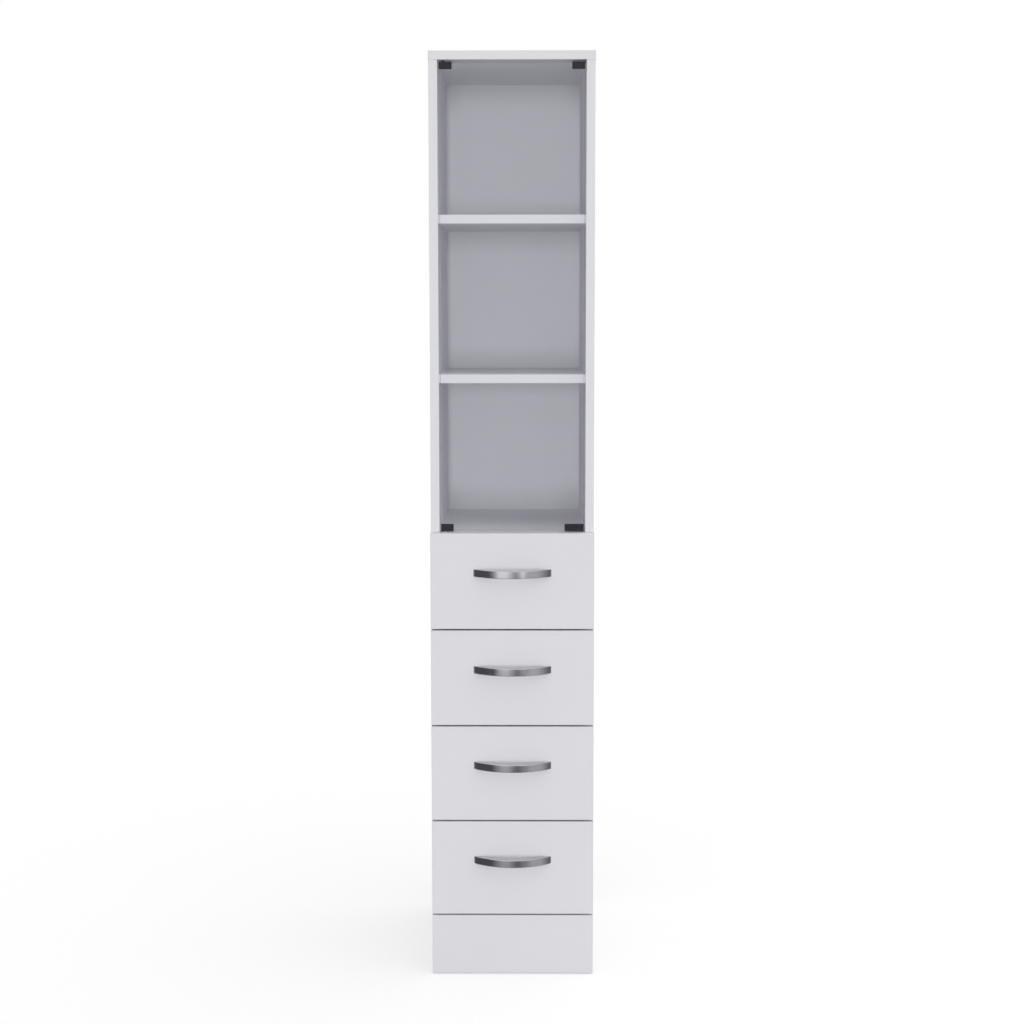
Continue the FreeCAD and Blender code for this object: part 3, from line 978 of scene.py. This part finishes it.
def veil(name, one_end, other_end, tall, tones, cover, fades):
    """Upright see-through card from one floor point to another that only reflections see.

    It goes from one grey to another, covers at most the given share, and fades in and out at its ends.
    """
    bpy.ops.object.select_all(action="DESELECT")
    bpy.ops.mesh.primitive_plane_add(size=1.0)
    made = bpy.context.object
    made.name = name
    foot = Vector((*one_end, 0.0))
    run = Vector((*other_end, 0.0)) - foot
    axes = Matrix((run, Vector((0, 0, tall)), run.cross(Vector((0, 0, 1))).normalized())).transposed()
    centre = foot + run / 2 + Vector((0.0, 0.0, tall / 2))
    made.matrix_world = Matrix.Translation(centre) @ axes.to_4x4()
    finish, inputs, place, _ = start_finish(name)
    along = place.axes()[0] + 0.5
    inputs["Base Color"].default_value = grey(0.0)
    inputs["Specular IOR Level"].default_value = MATT
    inputs["Emission Strength"].default_value = 1.0
    plug(inputs["Emission Color"], along.step(0.0, TONE_RUN).mix(grey(tones[0]), grey(tones[1])))
    plug(inputs["Alpha"], along.step(0.0, fades[0]) * (1 - along.step(1.0 - fades[1], 1.0)) * cover)
    made.data.materials.append(finish)
    for kind in ("camera", "diffuse", "transmission", "shadow", "volume_scatter"):
        setattr(made, "visible_" + kind, False)
    print(name, "tall", tall, "covers", cover)


veil("left_veil", (-1.6, 0.4), (-1.6, -3.3),
     tall=2.2, tones=(0.10, 0.10), cover=1.0, fades=(0.02, 0.54))
veil("right_veil", (1.6, 0.2), (1.6, -4.0),
     tall=2.2, tones=(0.07, 0.58), cover=1.0, fades=(0.02, 0.34))
veil("middle_veil", (-0.16, -0.75), (0.27, -0.75),
     tall=0.80, tones=(0.0, 0.0), cover=0.56, fades=(0.56, 0.44))
veil("low_left_veil", (-0.42, 0.2), (-0.42, -0.62),
     tall=0.40, tones=(0.10, 0.10), cover=1.0, fades=(0.02, 0.02))
veil("front_left_veil", (-0.48, -0.62), (-0.10, -0.62),
     tall=0.60, tones=(0.10, 0.10), cover=0.95, fades=(0.01, 1.0))
veil("front_right_veil", (0.02, -0.62), (0.40, -0.62),
     tall=0.60, tones=(0.0, 0.0), cover=0.38, fades=(0.29, 0.50))
veil("low_right_veil", (0.42, -0.12), (0.42, -0.85),
     tall=0.40, tones=(0.06, 0.53), cover=1.0, fades=(0.02, 0.35))
